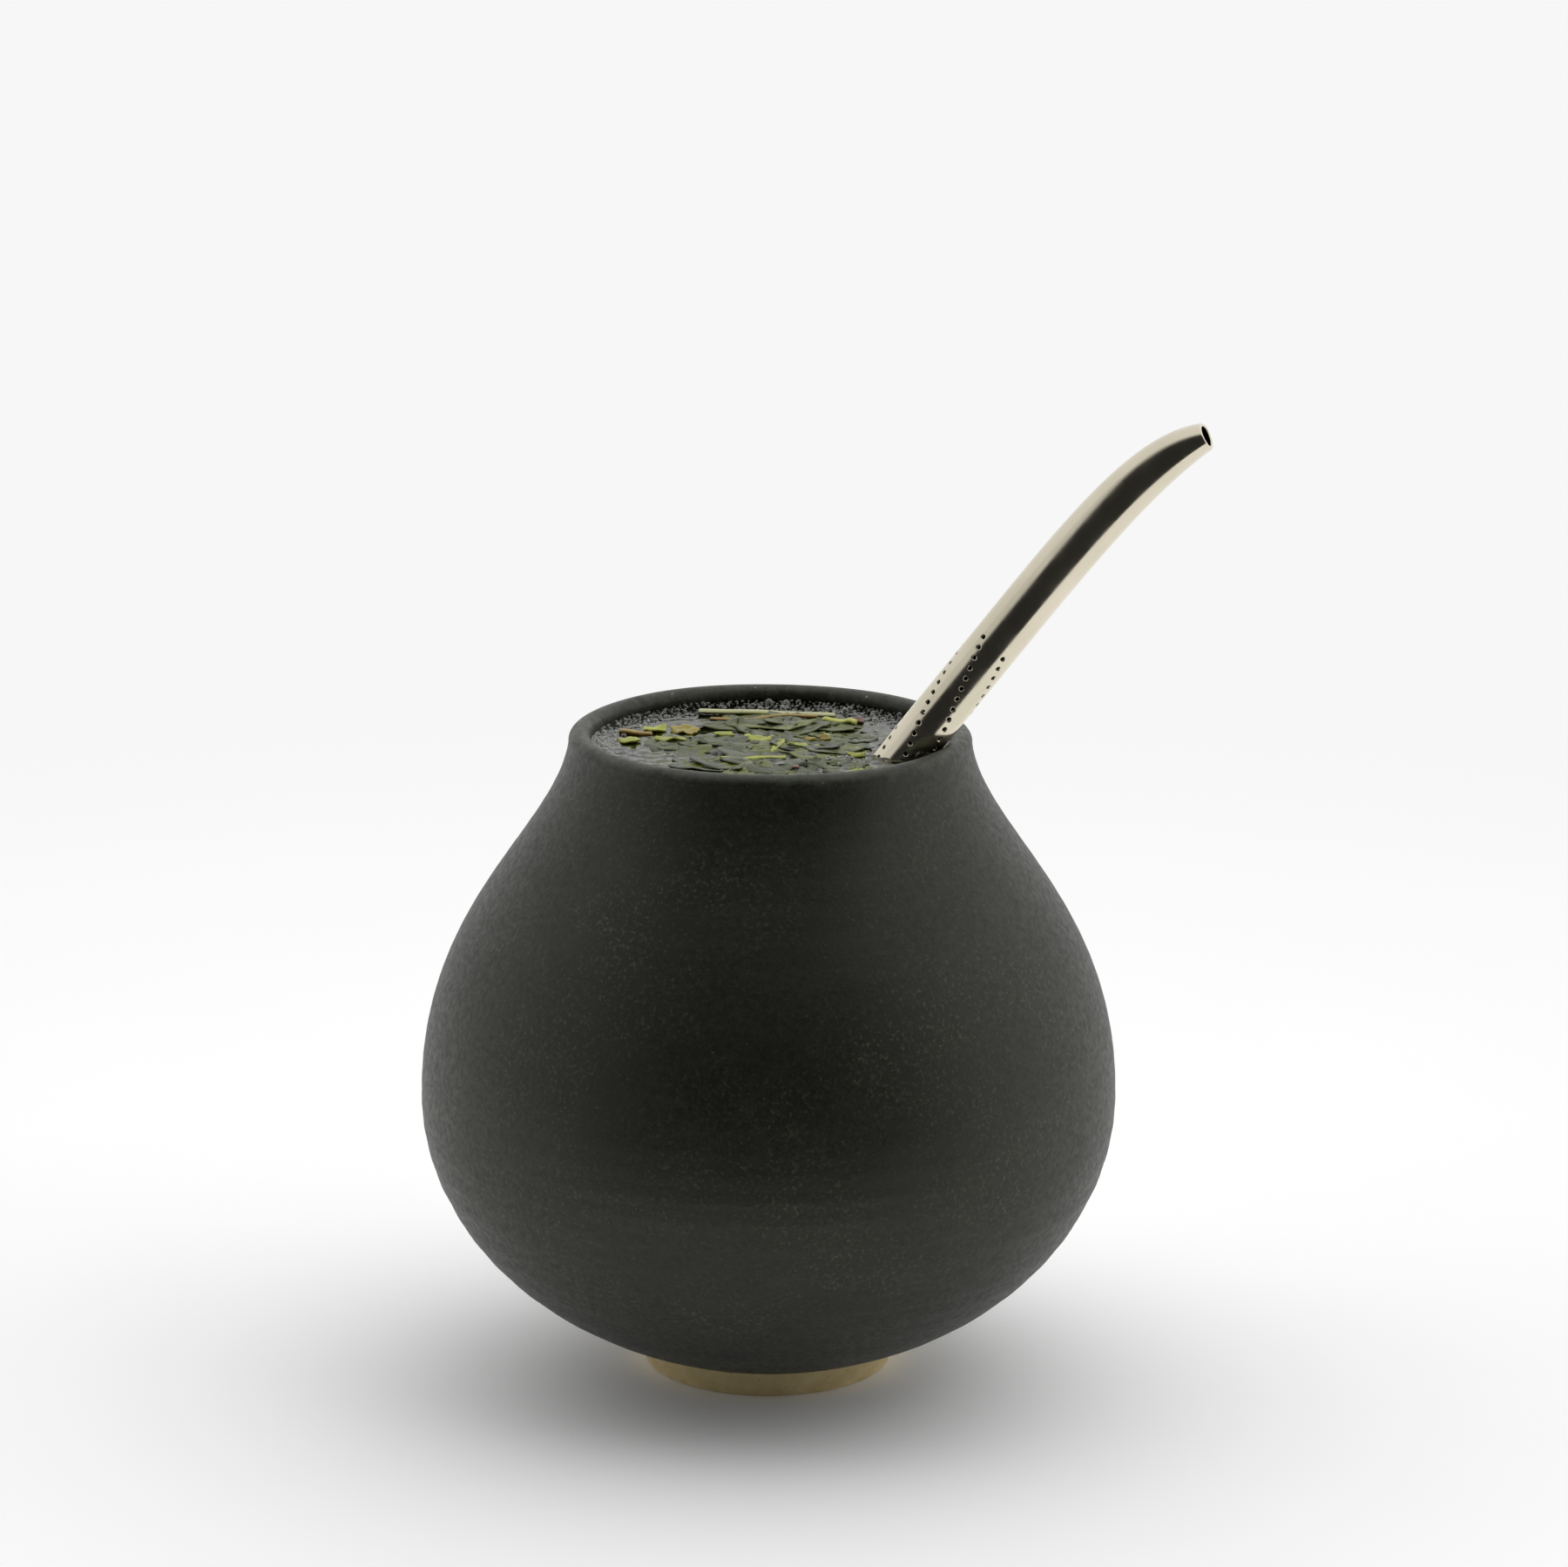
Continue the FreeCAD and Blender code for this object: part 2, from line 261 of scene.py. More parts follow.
def stoneware():
    """Matte charcoal glaze with a worn lip, over buff clay that shows on the foot ring."""
    s = Shader("stoneware", Roughness=0.5, Specular_IOR_Level=0.42, Specular_Tint=(1.0, 1.0, 0.88, 1.0))
    height = s.part(2)
    mottle = s.noise(9.0, 5.0, 0.6)
    grain = s.noise(0.55, 3.0, 0.6, shift=2.0)
    glaze = s.ramp(mottle, (0.3, srgb(19, 21, 14)), (0.7, srgb(31, 33, 25)))
    patches = s.span(s.noise(16.0, 3.0, 0.6, shift=12.0), 0.35, 0.7, 0.15, 1.0)
    fleck = s.math("MULTIPLY", s.span(grain, 0.5, 0.72, 0.0, 0.8), patches)
    glaze = s.mix(fleck, glaze, srgb(76, 78, 66))
    # the lip is worn paler and speckled
    wear = s.math("ADD", height, s.span(s.noise(2.5, 4.0, 0.65, shift=5.0), 0.3, 0.7, -0.7, 0.7))
    wear = s.span(wear, LIP_TOP - 1.6, LIP_TOP + 0.4)
    glaze = s.mix(s.math("MULTIPLY", wear, 0.35), glaze, srgb(98, 102, 92))
    chips = s.cells(1.1).outputs["Distance"]
    chips = s.math("MULTIPLY", s.span(chips, 0.10, 0.20, 1.0, 0.0), s.span(s.noise(4.0, 2.0), 0.55, 0.65))
    glaze = s.mix(s.math("MULTIPLY", s.math("MULTIPLY", chips, wear), 0.6), glaze, srgb(190, 190, 180))
    specks = s.cells(2.3).outputs["Distance"]
    glaze = s.mix(s.span(specks, 0.04, 0.08, 0.22, 0.0), glaze, srgb(110, 112, 98))
    # bare clay on the foot
    clay = s.ramp(s.noise(3.0, 5.0, 0.6, shift=9.0), (0.3, srgb(184, 166, 118)), (0.7, srgb(208, 190, 146)))
    clay = s.mix(s.span(s.cells(1.6).outputs["Distance"], 0.06, 0.12, 0.5, 0.0), clay, srgb(92, 76, 52))
    edge = s.math("ADD", height, s.span(s.noise(3.0, 3.0, shift=3.0), 0.3, 0.7, -0.12, 0.12))
    is_glaze = s.span(edge, FOOT_H - 0.05, FOOT_H + 0.1)
    s.link(s.mix(is_glaze, clay, glaze), "Base Color")
    glaze_rough = s.span(s.noise(0.9, 3.0, 0.6, shift=7.0), 0.3, 0.7, 0.40, 0.56)
    s.link(s.mix(is_glaze, (0.85, 0.85, 0.85, 1.0), glaze_rough), "Roughness")
    ridges = s.noise(1.3, 3.0, 0.5, stretch=(30, 30, 1), shift=1.0)
    relief = s.bump(ridges, 0.03)
    relief = s.bump(s.noise(0.5, 4.0, 0.65), 0.035, under=relief)
    s.link(relief, "Normal")
    return s.material


def straw_metal():
    """Polished warm metal with fine wear lines."""
    s = Shader("straw_metal", Metallic=1.0, Roughness=0.15, Base_Color=srgb(222, 214, 192))
    haze = s.noise(5.0, 4.0, 0.6)
    s.link(s.span(haze, 0.3, 0.7, 0.12, 0.22), "Roughness")
    clouds = s.noise(11.0, 3.0, 0.5, shift=4.0)
    tint = s.ramp(clouds, (0.35, srgb(224, 215, 195)), (0.65, srgb(214, 207, 185)))
    s.link(tint, "Base Color")
    relief = s.bump(s.noise(1.4, 2.0, 0.5), 0.004)
    s.link(relief, "Normal")
    return s.material


def tea_liquid():
    """Clear greenish tea."""
    s = Shader("tea_liquid", Roughness=0.02, IOR=1.333, Transmission_Weight=1.0)
    tint = s.ramp(s.noise(6.0, 2.0), (0.3, srgb(206, 212, 150)), (0.7, srgb(190, 198, 128)))
    s.link(tint, "Base Color")
    s.link(s.bump(s.noise(0.8, 3.0, 0.5), 0.006), "Normal")
    return s.material


def bubble_film():
    """The thin wall of a bubble."""
    s = Shader("bubble_film", Roughness=0.03, IOR=1.333, Transmission_Weight=0.93)
    s.link(s.ramp(s.noise(1.0, 2.0), (0.3, srgb(250, 250, 246)), (0.7, srgb(240, 242, 236))), "Base Color")
    return s.material


def leaf_material(name, dark, light, vein):
    """Wet leaf: each piece has its own shade, with veins and mottling."""
    s = Shader(name, Roughness=0.35, Specular_IOR_Level=0.32)
    shade = s.attribute("shade")
    mottle = s.noise(1.1, 5.0, 0.6)
    factor = s.math("ADD", s.math("MULTIPLY", shade, 0.7), s.span(mottle, 0.25, 0.75, -0.1, 0.45))
    colour = s.mix(factor, dark, light)
    fine = s.noise(0.35, 4.0, 0.7, shift=3.0)
    colour = s.mix(s.span(fine, 0.55, 0.8, 0.0, 0.6), colour, vein)
    s.link(colour, "Base Color")
    s.link(s.span(mottle, 0.2, 0.8, 0.2, 0.5), "Roughness")
    relief = s.bump(s.noise(0.9, 4.0, 0.6), 0.10)
    s.link(s.bump(fine, 0.03, under=relief), "Normal")
    return s.material


def stick_material(name, pale, mid, deep):
    """Wet stick: fibres run along X, with darker patches here and there."""
    s = Shader(name, Roughness=0.4, Specular_IOR_Level=0.45)
    fibres = s.noise(0.5, 4.0, 0.6, stretch=(8, 1, 1))
    patches = s.noise(2.6, 3.0, 0.6, shift=6.0)
    colour = s.ramp(fibres, (0.3, mid), (0.65, pale))
    colour = s.mix(s.span(patches, 0.5, 0.72, 0.0, 0.8), colour, deep)
    s.link(colour, "Base Color")
    s.link(s.bump(fibres, 0.06), "Normal")
    return s.material


# ---------------------------------------------------------------- cup
def cubic(p0, p1, p2, p3, count):
    t = np.linspace(0, 1, count)[:, None]
    p0, p1, p2, p3 = (np.array(p, float) for p in (p0, p1, p2, p3))
    return (1 - t) ** 3 * p0 + 3 * (1 - t) ** 2 * t * p1 + 3 * (1 - t) * t**2 * p2 + t**3 * p3


def bowl(radius, depth, low_z, count):
    """Points of the quarter ellipse below the widest ring, from low_z up."""
    turn = np.linspace(math.acos((BELLY_Z - low_z) / depth), math.pi / 2, count)
    return np.c_[radius * np.sin(turn), BELLY_Z - depth * np.cos(turn)]


def upper_wall(belly_r, collar_r, count):
    neck = (
        collar_r + NECK_HANDLE * math.sin(COLLAR_SLOPE),
        COLLAR_Z - NECK_HANDLE * math.cos(COLLAR_SLOPE),
    )
    return cubic((belly_r, BELLY_Z), (belly_r, BELLY_Z + BELLY_HANDLE), neck, (collar_r, COLLAR_Z), count)


def arc(centre, radius, start, end, count):
    turn = np.linspace(start, end, count)
    return np.c_[centre[0] + radius * np.cos(turn), centre[1] + radius * np.sin(turn)]


def cavity_profile(count=50):
    """The cavity's outline from the middle of its floor up to the lip."""
    depth = (BELLY_Z - FLOOR_Z) / math.sqrt(1 - (FLOOR_R / CAVITY_R) ** 2)
    return np.vstack([
        np.c_[np.linspace(0.5, FLOOR_R, 8), np.full(8, FLOOR_Z)][:-1],
        bowl(CAVITY_R, depth, FLOOR_Z, count)[:-1],
        upper_wall(CAVITY_R, LIP_MID_R - LIP_R, count),
    ])


def cup_profile():
    """The whole half section, from the middle of the recess round the outside and into the cavity."""
    inside = FOOT_R - FOOT_W
    edge = FOOT_EDGE
    foot_top = bowl(BELLY_R, BELLY_Z - BOWL_BOTTOM_Z, FOOT_H, 2)[0]
    return np.vstack([
        np.c_[np.linspace(0.5, inside, 8), np.full(8, RECESS)],
        np.c_[np.full(3, inside), np.linspace(RECESS, edge, 5)[1:-1]],
        arc((inside + edge, edge), edge, math.pi, 1.5 * math.pi, 6),
        np.c_[np.linspace(inside + edge, FOOT_R - edge, 6)[1:-1], np.zeros(4)],
        arc((FOOT_R - edge, edge), edge, 1.5 * math.pi, TAU, 6),
        np.linspace((FOOT_R, edge), foot_top, 12)[1:-1],
        bowl(BELLY_R, BELLY_Z - BOWL_BOTTOM_Z, FOOT_H, 90)[:-1],
        upper_wall(BELLY_R, COLLAR_R, 110),
        arc((LIP_MID_R, LIP_MID_Z), LIP_R, -0.15, math.pi, 22),
        cavity_profile()[::-1][1:],
    ])


def lathe(profile, segments, shape=None):
    """Points and faces of a turned solid; the profile's two ends are closed by a fan."""
    turn = np.arange(segments) * TAU / segments
    r = np.repeat(profile[:, 0][:, None], segments, 1)
    z = np.repeat(profile[:, 1][:, None], segments, 1)
    t = np.repeat(turn[None], len(profile), 0)
    if shape is not None:
        r, z = shape(r, z, t)
    verts = np.stack([r * np.cos(t), r * np.sin(t), z], -1).reshape(-1, 3)
    faces = []
    for i in range(len(profile) - 1):
        faces += ring_faces(i * segments, (i + 1) * segments, segments)
    ends = np.array([[0, 0, profile[0, 1]], [0, 0, profile[-1, 1]]])
    low, high = len(verts), len(verts) + 1
    last = (len(profile) - 1) * segments
    for i in range(segments):
        j = (i + 1) % segments
        faces.append((low, j, i))
        faces.append((high, last + i, last + j))
    return np.vstack([verts, ends]), faces


def hand_made(r, z, t):
    """Throwing and trimming marks and a slight unroundness, all cut inwards from the true form."""
    outside = np.clip((z - FOOT_H) / 3, 0, 1) * np.clip((LIP_TOP - 1.5 - z) / 4, 0, 1)
    wobble = 0.5 + 0.5 * np.sin(2 * t + 0.7 + z / 31) * np.sin(3 * t + 2.1 + z / 47)
    winding = z - 1.7 * t / TAU
    low = np.clip((44 - z) / 18, 0, 1)
    ridges = 0.5 + 0.5 * np.sin(TAU * winding / 3.4 + 0.6 * np.sin(z / 3.1))
    fine = 0.5 + 0.5 * np.sin(TAU * winding / 1.3 + 1.1 * np.sin(z / 2.3))
    step = np.exp(-(((z - 24.5 - 0.3 * np.sin(t)) / 1.1) ** 2))
    cut = 0.14 * wobble + (0.02 + 0.06 * low) * ridges + (0.008 + 0.02 * low) * fine + 0.1 * step * low
    scale = np.where(r > 0.6 * BELLY_R * 0.3, outside, 0)
    r = r - cut * scale
    lip = np.clip((z - COLLAR_Z) / (LIP_TOP - COLLAR_Z), 0, 1)
    dip = 0.5 + 0.3 * np.sin(2 * t + 1.1) + 0.2 * np.sin(5 * t + 0.4)
    return r, z - 0.22 * lip * dip


def build_cup(material):
    profile = cup_profile()
    verts, faces = lathe(profile, 224, hand_made)
    return make_piece("gourd_cup", verts, faces, material, "stoneware", ["mate_cup"])


# ---------------------------------------------------------------- bombilla
SIDE = np.array([0.0, 1.0, 0.0])


def heading(turned=0.0):
    return np.array([math.cos(LEAN - turned), 0.0, math.sin(LEAN - turned)])


BALL = np.array([tube_low.x + TUBE_R, (tube_low.y + tube_high.y) / 2, tube_low.z + TUBE_R])
SUNK = (LEVEL - BALL[2]) / math.sin(LEAN)  # from the closed end up to the tea, along the tube
STRAIGHT_L = SUNK + STRAIGHT_UP
TUBE_L = STRAIGHT_L + BEND_L
TEA_POINT = BALL + heading() * SUNK


def centreline(s):
    """The axis point and direction at the length s from the closed end's centre."""
    if s <= STRAIGHT_L:
        return BALL + heading() * s, heading()
    point = BALL + heading() * STRAIGHT_L
    steps = 60
    done = s - STRAIGHT_L
    for i in range(steps):
        share = (i + 0.5) / steps * done / BEND_L
        point = point + heading(BEND_TURN * share**BEND_POWER) * (done / steps)
    return point, heading(BEND_TURN * (done / BEND_L) ** BEND_POWER)


def tube_half_sizes(s):
    share = max(0.0, 1 - (TUBE_L - s) / TAPER_L) ** TAPER_POWER
    return TUBE_R + (MOUTH_THICK / 2 - TUBE_R) * share, TUBE_R + (MOUTH_WIDE / 2 - TUBE_R) * share


def tube_point(s, turn, inset):
    """A point of the tube's skin, sunk by inset, and the skin's outward direction there."""
    point, along = centreline(s)
    up = np.cross(along, SIDE)
    thick, wide = tube_half_sizes(s)
    if math.cos(turn) > 0:
        share = max(0.0, 1 - (TUBE_L - s) / TAPER_L) ** PRESS_POWER
        thick = TUBE_R + (PRESSED - TUBE_R) * share
    skin = point + up * (thick - inset) * math.cos(turn) + SIDE * (wide - inset) * math.sin(turn)
    out = up * math.cos(turn) / thick + SIDE * math.sin(turn) / wide
    return skin, out / np.linalg.norm(out)


class TubeMesh:
    """The straw's skin as a grid that winds with the rows of holes, with a round patch at each hole."""

    CELL = 4  # grid steps along and across one hole's square

    def __init__(self):
        self.verts = []
        self.normals = []
        self.faces = []
        self.step = HOLE_PITCH / self.CELL
        rows = sorted(HOLE_ROWS)
        half = HOLE_PITCH / 2 / TUBE_R
        self.columns = []
        self.row_at = {}
        for i, (azimuth, late) in enumerate(rows):
            middle = math.radians(azimuth)
            following = math.radians(rows[(i + 1) % len(rows)][0]) + (TAU if i + 1 == len(rows) else 0)
            self.row_at[len(self.columns)] = late
            self.columns += [middle - half + 2 * half * k / self.CELL for k in range(self.CELL)]
            self.columns += list(np.linspace(middle + half, following - half, 5)[:-1])
        self.count = len(self.columns)

    def add(self, s, turn, inset, plain=True):
        skin, out = tube_point(s, turn, inset)
        self.verts.append(skin)
        self.normals.append(out if plain else (0, 0, 0))
        return len(self.verts) - 1

    def turn_at(self, column, s):
        return self.columns[column % self.count] + HOLE_TWIST * (min(s, STRAIGHT_L) - SUNK)

    def ring(self, s, inset, plain=True):
        """A ring of the skin; towards the mouth it leans with the mouth's slanting cut."""
        lean = MOUTH_CUT * max(0.0, 1 - (TUBE_L - s) / 4.0)
        out = []
        for c in range(self.count):
            turn = self.turn_at(c, s)
            half_wide = tube_half_sizes(s)[1]
            out.append(self.add(s - lean * half_wide * (1 - math.sin(turn)), turn, inset, plain))
        return out

    def skin(self, lengths, inset, inward, holes):
        """Rings at each length with quads between, leaving out the squares of the holes."""
        rings = [self.ring(s, inset) for s in lengths]
        skipped = set()
        for i, column in holes:
            for a in range(self.CELL):
                for b in range(self.CELL):
                    skipped.add((i + a, column + b))
        for i in range(len(rings) - 1):
            for c in range(self.count):
                if (i, c) in skipped:
                    continue
                d = (c + 1) % self.count
                quad = (rings[i][c], rings[i][d], rings[i + 1][d], rings[i + 1][c])
                self.faces.append(quad[::-1] if inward else quad)
        return rings

    def square(self, rings, i, column):
        """The grid points round one hole's square, in order."""
        n = self.CELL
        walk = [(0, b) for b in range(n)] + [(a, n) for a in range(n)]
        walk += [(n, n - b) for b in range(n)] + [(n - a, 0) for a in range(n)]
        return [(rings[i + a][(column + b) % self.count], a, b) for a, b in walk]

    def circle(self, walk, s_mid, turn_mid, radius, inset, plain):
        """A round ring whose points lie in the directions of the square's points."""
        n = self.CELL
        out = []
        for _, a, b in walk:
            along = (a - n / 2) * self.step
            across = (b - n / 2) * self.step + HOLE_TWIST * TUBE_R * along
            size = math.hypot(along, across)
            turn = turn_mid + radius * across / size / TUBE_R
            out.append(self.add(s_mid + radius * along / size, turn, inset, plain))
        return out

    def bridge(self, first, second, flip=False):
        n = len(first)
        for k in range(n):
            j = (k + 1) % n
            quad = (first[k], first[j], second[j], second[k])
            self.faces.append(quad[::-1] if flip else quad)


def build_straw(material):
    tube = TubeMesh()
    n = TubeMesh.CELL
    top = SUNK + HOLE_TOP + HOLE_PITCH / 2
    below = int((top - HOLE_END / 2) / tube.step)
    straight = [top - tube.step * k for k in range(below, -1, -1)]
    above = list(np.linspace(top, STRAIGHT_L, 3)[1:-1])
    bend = list(np.linspace(STRAIGHT_L, TUBE_L - 0.25, 46))
    lengths = straight + above + bend
    holes = []
    for column, late in tube.row_at.items():
        first = len(straight) - 1 - n - int(late * n)
        holes += [(i, column) for i in range(first, n, -n)]
    outer = tube.skin(lengths, 0.0, False, holes)
    inner = tube.skin(lengths, TUBE_T, True, holes)
    rounds = ((0.45, 0.0, True), (0.36, 0.03, False), (0.29, 0.10, False), (HOLE_R - 0.06, 0.2, False))
    for i, column in holes:
        s_mid = lengths[i + n // 2]
        turn_mid = tube.turn_at(column + n // 2, s_mid)
        walk = tube.square(outer, i, column)
        last = [v for v, _, _ in walk]
        for radius, inset, plain in rounds + ((HOLE_R - 0.06, TUBE_T, False),):
            ring = tube.circle(walk, s_mid, turn_mid, radius, inset, plain)
            tube.bridge(last, ring)
            last = ring
        tube.bridge(last, [v for v, _, _ in tube.square(inner, i, column)])
    # the rounded rim of the mouth
    rim = [outer[-1]]
    for k in range(1, 7):
        lift = math.pi * k / 7
        s = TUBE_L - 0.25 + 0.25 * math.sin(lift)
        rim.append(tube.ring(s, TUBE_T / 2 * (1 - math.cos(lift)), False))
    rim.append(inner[-1])
    for first, second in zip(rim, rim[1:]):
        tube.bridge(first, second)
    # the closed end, outside and inside
    for inset, rings, inward in ((0.0, outer, False), (TUBE_T, inner, True)):
        last = rings[0]
        start = lengths[0]
        for k in range(0, 8):
            lift = math.pi / 2 * k / 8
            ring = []
            for c in range(tube.count):
                turn = tube.turn_at(c, start)
                out = np.cross(heading(), SIDE) * math.cos(turn) + SIDE * math.sin(turn)
                reach = out * math.cos(lift) - heading() * math.sin(lift)
                tube.verts.append(BALL + reach * (TUBE_R - inset))
                tube.normals.append(reach)
                ring.append(len(tube.verts) - 1)
            tube.bridge(ring, last, flip=inward)
            last = ring
        tube.verts.append(BALL - heading() * (TUBE_R - inset))
        tube.normals.append(-heading())
        tip = len(tube.verts) - 1
        for c in range(tube.count):
            d = (c + 1) % tube.count
            face = (tip, last[d], last[c])
            tube.faces.append(face[::-1] if inward else face)
    normals = np.array(tube.normals)
    faces = [face[::-1] for face in tube.faces]
    return make_piece("straw", tube.verts, faces, material, "straw_metal", ["bombilla"], normals=normals)


# ---------------------------------------------------------------- leaves: a pile dropped piece by piece
class Pile:
    """A height map over the tea's surface that pieces settle on."""

    STEP = 0.25
    REACH = 25.0

    def __init__(self, start):
        self.n = int(2 * self.REACH / self.STEP) + 1
        axis = np.linspace(-self.REACH, self.REACH, self.n)
        self.x, self.y = np.meshgrid(axis, axis, indexing="ij")
        self.height = start(self.x, self.y)

    def index(self, x, y):
        i = np.clip(((x + self.REACH) / self.STEP).round().astype(int), 0, self.n - 1)
        j = np.clip(((y + self.REACH) / self.STEP).round().astype(int), 0, self.n - 1)
        return i, j

    def settle(self, points, ease=0.6, lean=0.05):
        """Lays a flat piece on the pile. Returns its points tilted and lifted to where it rests."""
        i, j = self.index(points[:, 0], points[:, 1])
        ground = self.height[i, j]
        centre = points[:, :2].mean(0)
        local = points[:, :2] - centre
        basis = np.c_[np.ones(len(points)), local]
        fit, *_ = np.linalg.lstsq(basis, ground, rcond=None)
        slope = np.clip(fit[1:], -lean, lean)
        plane = local @ slope
        under = points[:, 2].min()
        lift = np.quantile(ground - plane - (points[:, 2] - under), ease)
        out = points.copy()
        out[:, 2] = points[:, 2] - under + plane + lift
        return out

    def stack(self, points):
        i, j = self.index(points[:, 0], points[:, 1])
        np.maximum.at(self.height, (i, j), points[:, 2])


def inside_wall(x, y, margin=0.0):
    """True where a point lies in the mouth and clear of the straw."""
    wall = np.hypot(x, y) < MOUTH_R - margin
    along = (x - TEA_POINT[0]) * math.sin(LEAN)
    across = y - TEA_POINT[1]
    return wall & (np.hypot(along, across) > TUBE_R + margin)


def leaf(rng, length, width, thickness):
    """A torn piece of leaf lying flat: points of its top and underside, and faces."""
    around = 22
    turn = np.arange(around) * TAU / around
    power = rng.uniform(2.0, 2.8)
    outline = (np.abs(np.cos(turn)) ** power + np.abs(np.sin(turn)) ** power) ** (-1 / power)
    ragged = sum(rng.uniform(0.03, 0.11) * np.sin(k * turn + rng.uniform(0, TAU)) for k in (2, 3, 5, 7))
    outline = outline * (1 + ragged)
    x = length / 2 * outline * np.cos(turn)
    y = width / 2 * outline * np.sin(turn)
    cut = length / 2 * rng.uniform(0.7, 1.1)
    x = np.minimum(x, cut + 0.15 * y)
    bow = rng.uniform(-0.02, 0.05) * length
    cup = rng.uniform(-0.07, 0.05) * width
    twist = rng.uniform(-0.03, 0.03)
    crease = Ripples(rng.integers(1 << 30), rng.uniform(2.0, 4.0))
    rings = (0.0, 0.2, 0.4, 0.6, 0.78, 0.92, 1.0)
    verts = []
    for side in (1, -1):
        for share in rings[1:] if side == 1 else rings[-2:0:-1]:
            px, py = x * share, y * share
            u, v = px / (length / 2), py / (width / 2)
            z = bow * u**2 + cup * v**2 + twist * px * v + 0.10 * crease(px, py) * (0.4 + share)
            z = z - 0.25 * thickness * np.exp(-((v / 0.12) ** 2)) * side
            edge = 0.0 if share == 1.0 else (1.0 if share < 0.9 else 0.8)
            verts.append(np.c_[px, py, z + side * edge * thickness / 2])
    layers = len(verts)
    faces = []
    for k in range(layers - 1):
        faces += [f[::-1] for f in ring_faces(k * around, (k + 1) * around, around)]
    verts = np.vstack(verts + [[[0, 0, thickness / 4], [0, 0, -thickness / 2]]])
    top, under = layers * around, layers * around + 1
    last = (layers - 1) * around
    for i in range(around):
        j = (i + 1) % around
        faces.append((top, i, j))
        faces.append((under, last + j, last + i))
    return verts, faces


def turned(points, angle):
    c, s = math.cos(angle), math.sin(angle)
    out = points.copy()
    out[:, 0] = c * points[:, 0] - s * points[:, 1]
    out[:, 1] = s * points[:, 0] + c * points[:, 1]
    return out


class Heap:
    """Joined pieces of one kind."""

    def __init__(self):
        self.verts = []
        self.faces = []
        self.shade = []
        self.size = 0

    def add(self, verts, faces, shade):
        self.faces += [tuple(i + self.size for i in f) for f in faces]
        self.verts.append(verts)
        self.shade.append(np.full(len(verts), shade))
        self.size += len(verts)

    def piece(self, name, material, slot, **more):
        made = make_piece(name, np.vstack(self.verts), self.faces, material, slot, **more)
        set_attribute(made, "shade", np.concatenate(self.shade))
        return made


def place(rng, reach):
    """A random spot in the mouth, evenly spread."""
    r = reach * math.sqrt(rng.uniform())
    turn = rng.uniform(0, TAU)
    return r * math.cos(turn), r * math.sin(turn)


def in_raft(x, y, margin=0.0):
    """True inside the raft of leaves, which has drifted to the front and leaves foam behind it."""
    return np.hypot(x - RAFT_X, y - RAFT_Y) < RAFT_R - margin


def drop_leaves(pile, heaps, seed, count, lengths, kinds, thickness):
    rng = np.random.default_rng(seed)
    made = 0
    for _ in range(count * 6):
        if made == count:
            break
        length = rng.uniform(*lengths)
        width = length * rng.uniform(0.4, 0.85)
        x, y = place(rng, MOUTH_R - 0.4)
        verts, faces = leaf(rng, length, width, thickness * rng.uniform(0.8, 1.3))
        verts = turned(verts, rng.normal(0.0, 0.8))
        verts[:, 0] += x
        verts[:, 1] += y
        kind = rng.choice(len(kinds), p=[share for _, share in kinds])
        shade = rng.uniform(0, 1)
        px, py = verts[:, 0], verts[:, 1]
        if not inside_wall(px, py, 0.25).all() or not in_raft(px, py).all():
            continue
        verts = pile.settle(verts)
        pile.stack(verts)
        heaps[kinds[kind][0]].add(verts, faces, shade)
        made += 1


def stick(length, diameter, bow, flat, seed):
    """A stick along X: a bent rod with uneven, slightly flattened sections and blunt ends."""
    rng = np.random.default_rng(seed)
    around, steps = 16, 40
    turn = np.arange(around) * TAU / around
    lobes = 1 + 0.07 * np.sin(3 * turn + rng.uniform(0, TAU)) + 0.05 * np.sin(5 * turn + rng.uniform(0, TAU))
    swell = Ripples(seed, length / 3)
    wander = Ripples(seed + 1, length / 1.5)
    verts = []
    shares = np.r_[0.0, 0.006, 0.02, np.linspace(0.05, 0.95, steps), 0.98, 0.994, 1.0]
    for share in shares:
        x = (share - 0.5) * length
        end = min(share, 1 - share) * length / diameter
        taper = min(1.0, 0.55 + 1.5 * math.sqrt(end)) if end < 0.1 else 1.0
        size = diameter / 2 * (1 + 0.05 * swell(x, 0)) * taper
        y = bow * (1 - (2 * share - 1) ** 2) + 0.12 * wander(x, 3.0)
        z = 0.10 * wander(x, 9.0)
        verts.append(np.c_[
            np.full(around, x), y + size * lobes * np.cos(turn), z + flat * size * lobes * np.sin(turn)
        ])
    layers = len(verts)
    faces = []
    for k in range(layers - 1):
        faces += [f[::-1] for f in ring_faces(k * around, (k + 1) * around, around)]
    faces.append(tuple(range(around)))
    faces.append(tuple(range(layers * around - 1, (layers - 1) * around - 1, -1)))
    return np.vstack(verts), faces


